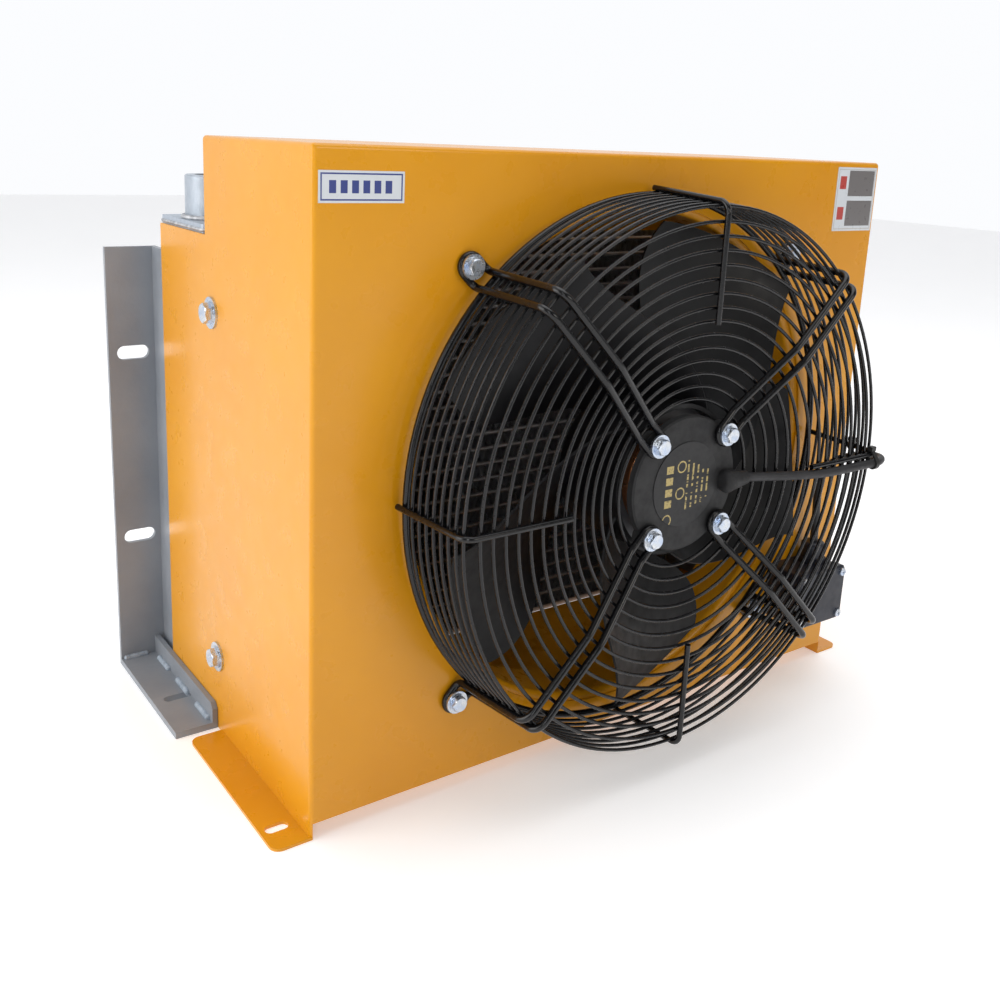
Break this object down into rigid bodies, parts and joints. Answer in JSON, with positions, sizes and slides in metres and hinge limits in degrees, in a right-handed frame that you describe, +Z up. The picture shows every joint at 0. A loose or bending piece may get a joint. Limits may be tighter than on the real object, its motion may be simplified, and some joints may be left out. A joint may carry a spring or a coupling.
{
  "type": "hydraulic oil cooler",
  "caption": "Fan-driven oil cooler: wire guard and axial fan in a folded sheet shroud, finned oil core with side tanks and threaded ports behind, slotted brackets and feet.",
  "frame": {"origin": "on the floor, under the middle of the whole machine's outline", "axes": "+Z up; -Y towards the fan guard, the side the air enters; +Y towards the wall brackets; +X to the right for someone who faces the fan guard"},
  "size_m": [0.57, 0.3746, 0.435],
  "materials": {
    "powder_coat": "glossy yellow powder coat",
    "painted_grey": "semi-gloss grey enamel over angle iron",
    "tank_aluminium": "satin, lightly brushed",
    "weld_aluminium": "matt, rippled weld",
    "tube_aluminium": "mill finish",
    "fin_aluminium": "thin bright foil",
    "black_wire": "glossy black dip coat",
    "black_sheet": "satin black",
    "motor_casting": "matt charcoal cast aluminium",
    "motor_plate_print": "dark foil with plain gold marks",
    "zinc": "bluish zinc plate",
    "bearing_steel": "ground and polished",
    "shaft_steel": "turned",
    "core_steel": "stacked laminations",
    "copper": "varnished winding",
    "lead_sheath": "semi-matt dark grey sheath",
    "tie_nylon": "black nylon",
    "box_plastic": "blue-black moulded plastic",
    "terminal_plastic": "pale moulded plastic",
    "label_pale": "printed foil, no lettering"
  },
  "bodies": {
    "root": {"fan_shroud": "powder_coat", "inlet_ring": "powder_coat", "left_bracket_upright": "painted_grey", "right_bracket_upright": "painted_grey", "left_bracket_foot": "painted_grey", "right_bracket_foot": "painted_grey", "bracket_welds": "painted_grey", "left_mount_angle": "painted_grey", "right_mount_angle": "painted_grey", "left_tank": "tank_aluminium", "right_tank": "tank_aluminium", "left_tank_caps": "tank_aluminium", "right_tank_caps": "tank_aluminium", "left_oil_port": "weld_aluminium", "right_oil_port": "weld_aluminium", "core_tubes": "tube_aluminium", "core_end_plates": "tube_aluminium", "core_fins": "fin_aluminium", "guard_back_ring": "black_wire", "guard_side_rings": "black_wire", "guard_face_rings": "black_wire", "guard_cone_rings": "black_wire", "guard_arm_1": "black_wire", "guard_arm_2": "black_wire", "guard_arm_3": "black_wire", "guard_arm_4": "black_wire", "guard_ribs": "black_wire", "motor_end_shield": "motor_casting", "motor_plate": "motor_plate_print", "guard_bolts": "zinc", "guard_washers": "zinc", "guard_nuts": "zinc", "motor_bolts": "zinc", "motor_washers": "zinc", "side_bolts": "zinc", "side_washers": "zinc", "side_nuts": "zinc", "junction_box_screws": "zinc", "bearing_outer_rings": "bearing_steel", "stator_core": "core_steel", "stator_windings": "copper", "motor_lead": "lead_sheath", "cable_ties": "tie_nylon", "junction_box_base": "box_plastic", "junction_box_lid": "box_plastic", "lead_gland": "box_plastic", "supply_gland": "box_plastic", "terminal_block": "terminal_plastic", "model_label": "label_pale", "info_label": "label_pale"},
    "fan_rotor": {"rotor_can": "black_sheet", "rotor_cage": "core_steel", "rotor_shaft": "shaft_steel", "bearing_inner_rings": "bearing_steel", "fan_blade_1": "black_sheet", "fan_blade_2": "black_sheet", "fan_blade_3": "black_sheet", "fan_blade_4": "black_sheet", "fan_blade_5": "black_sheet"},
    "ball_set": {"bearing_balls": "bearing_steel"}
  },
  "joints": [
    {"name": "fan_spin", "type": "hinge", "parent": "root", "child": "fan_rotor", "pos_m": [0, -0.1068, 0.2175], "axis": [0, 1, 0], "continuous": true},
    {"name": "ball_spin", "type": "hinge", "parent": "root", "child": "ball_set", "pos_m": [0, -0.1068, 0.2175], "axis": [0, 1, 0], "continuous": true}
  ],
  "couplings": [
    {"joint": "ball_spin", "follows": "fan_spin", "ratio": 0.3659}
  ]
}
